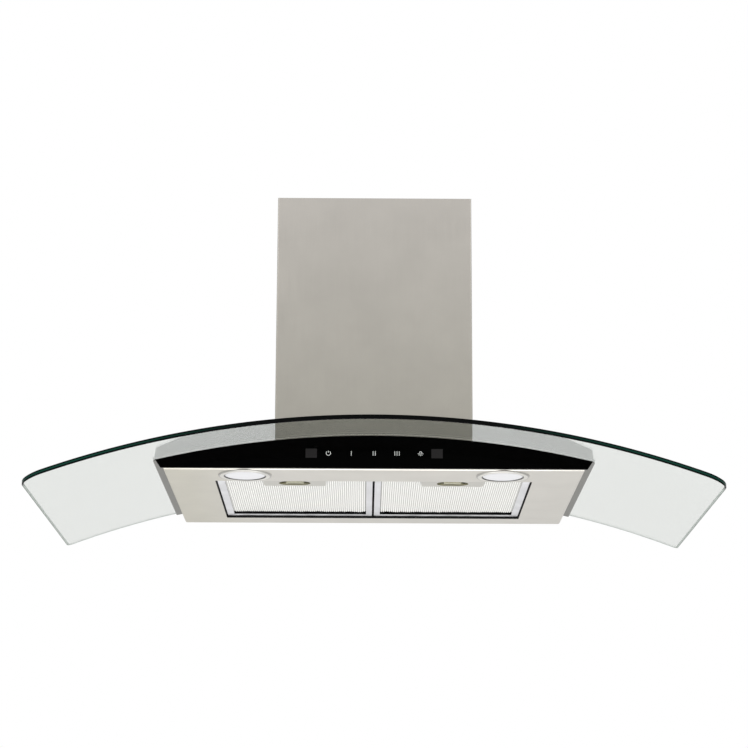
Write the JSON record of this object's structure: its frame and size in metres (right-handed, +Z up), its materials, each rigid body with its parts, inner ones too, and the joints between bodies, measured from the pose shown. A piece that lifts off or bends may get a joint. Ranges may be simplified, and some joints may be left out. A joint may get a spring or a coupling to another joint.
{
  "type": "curved glass range hood",
  "caption": "Wall-mounted chimney range hood: arched glass canopy over a slim steel tray with tilting grease filters, lamps and touch fascia, blower behind telescoping covers.",
  "frame": {"origin": "centre of the four wall screw holes, on the wall", "axes": "+X to the right seen from the front, +Y into the wall, +Z up"},
  "size_m": [0.9, 0.481, 0.4574],
  "materials": {
    "glass": "clear tempered sheet, polished edges",
    "black_glass": "black glass fascia, printed on the back",
    "signal_window": "smoked window",
    "body_steel": "satin stainless sheet",
    "chimney_steel": "brushed stainless sheet, grain upright",
    "galvanised": "galvanised sheet, inside",
    "filter_metal": "bright anodised frame",
    "filter_mesh": "expanded aluminium mesh",
    "lamp_trim": "polished ring",
    "lamp_lens": "frosted diffuser",
    "cast_metal": "heat sink",
    "gasket": "foam strip",
    "rubber_black": "moulded rubber",
    "plastic_black": "moulded, fine texture",
    "plastic_grey": "moulded",
    "circuit_board": "glass fibre board",
    "spring_steel": "spring strip",
    "zinc_steel": "zinc plated"
  },
  "bodies": {
    "hood": {"glass_canopy": "glass", "glass_gasket": "gasket", "glass_washers": "rubber_black", "glass_screws": "zinc_steel", "body_tray": "body_steel", "body_top_cover": "body_steel", "throat_duct": "galvanised", "front_room_wall": "galvanised", "front_fascia": "black_glass", "signal_window_left": "signal_window", "signal_window_right": "signal_window", "touch_board": "circuit_board", "touch_pads": "plastic_black", "control_box": "plastic_black", "control_box_lid": "plastic_black", "lamp_bezel_left": "lamp_trim", "lamp_bezel_right": "lamp_trim", "lamp_lens_left": "lamp_lens", "lamp_lens_right": "lamp_lens", "lamp_body_left": "cast_metal", "lamp_body_right": "cast_metal", "wall_plate": "galvanised", "blower_box": "galvanised", "blower_top_plate": "galvanised", "blower_screws": "zinc_steel", "scroll_housing": "galvanised", "inlet_rings": "galvanised", "motor": "zinc_steel", "motor_bracket": "galvanised", "capacitor": "plastic_grey", "capacitor_clip": "zinc_steel", "junction_box": "plastic_grey", "junction_box_lid": "plastic_grey", "terminal_block": "plastic_grey", "cable_grommet": "rubber_black", "outlet_adapter": "plastic_black", "damper_axle": "zinc_steel", "chimney_lower": "chimney_steel", "chimney_clips": "galvanised", "chimney_screws": "zinc_steel"},
    "filter_left": {"filter_frame_left": "filter_metal", "filter_mesh_left": "filter_mesh", "filter_core_left": "filter_mesh", "latch_housing_left": "filter_metal", "latch_spring_left": "spring_steel"},
    "filter_right": {"filter_frame_right": "filter_metal", "filter_mesh_right": "filter_mesh", "filter_core_right": "filter_mesh", "latch_housing_right": "filter_metal", "latch_spring_right": "spring_steel"},
    "latch_left": {"latch_slider_left": "plastic_grey"},
    "latch_right": {"latch_slider_right": "plastic_grey"},
    "fan": {"impeller": "galvanised", "impeller_nut": "zinc_steel", "motor_shaft": "zinc_steel"},
    "flap_front": {"damper_flap_front": "plastic_black"},
    "flap_rear": {"damper_flap_rear": "plastic_black"},
    "upper_chimney": {"chimney_upper": "chimney_steel", "ceiling_bracket": "galvanised"}
  },
  "joints": [
    {"name": "filter_left_tilt", "type": "hinge", "parent": "hood", "child": "filter_left", "pos_m": [-0.1069, -0.0395, -0.184], "axis": [1, 0, 0], "range_deg": [0, 45]},
    {"name": "filter_right_tilt", "type": "hinge", "parent": "hood", "child": "filter_right", "pos_m": [0.1069, -0.0395, -0.184], "axis": [1, 0, 0], "range_deg": [0, 45]},
    {"name": "latch_left_slide", "type": "slide", "parent": "filter_left", "child": "latch_left", "axis": [0, -1, 0], "range_m": [0, 0.0045]},
    {"name": "latch_right_slide", "type": "slide", "parent": "filter_right", "child": "latch_right", "axis": [0, -1, 0], "range_m": [0, 0.0045]},
    {"name": "fan_spin", "type": "hinge", "parent": "hood", "child": "fan", "pos_m": [0, -0.129, -0.002], "axis": [1, 0, 0], "continuous": true},
    {"name": "flap_front_swing", "type": "hinge", "parent": "hood", "child": "flap_front", "pos_m": [0, -0.095, 0.16], "axis": [-1, 0, 0], "range_deg": [0, 75]},
    {"name": "flap_rear_swing", "type": "hinge", "parent": "hood", "child": "flap_rear", "pos_m": [0, -0.095, 0.16], "axis": [1, 0, 0], "range_deg": [0, 75]},
    {"name": "chimney_slide", "type": "slide", "parent": "hood", "child": "upper_chimney", "axis": [0, 0, 1], "range_m": [0, 0.28]}
  ]
}
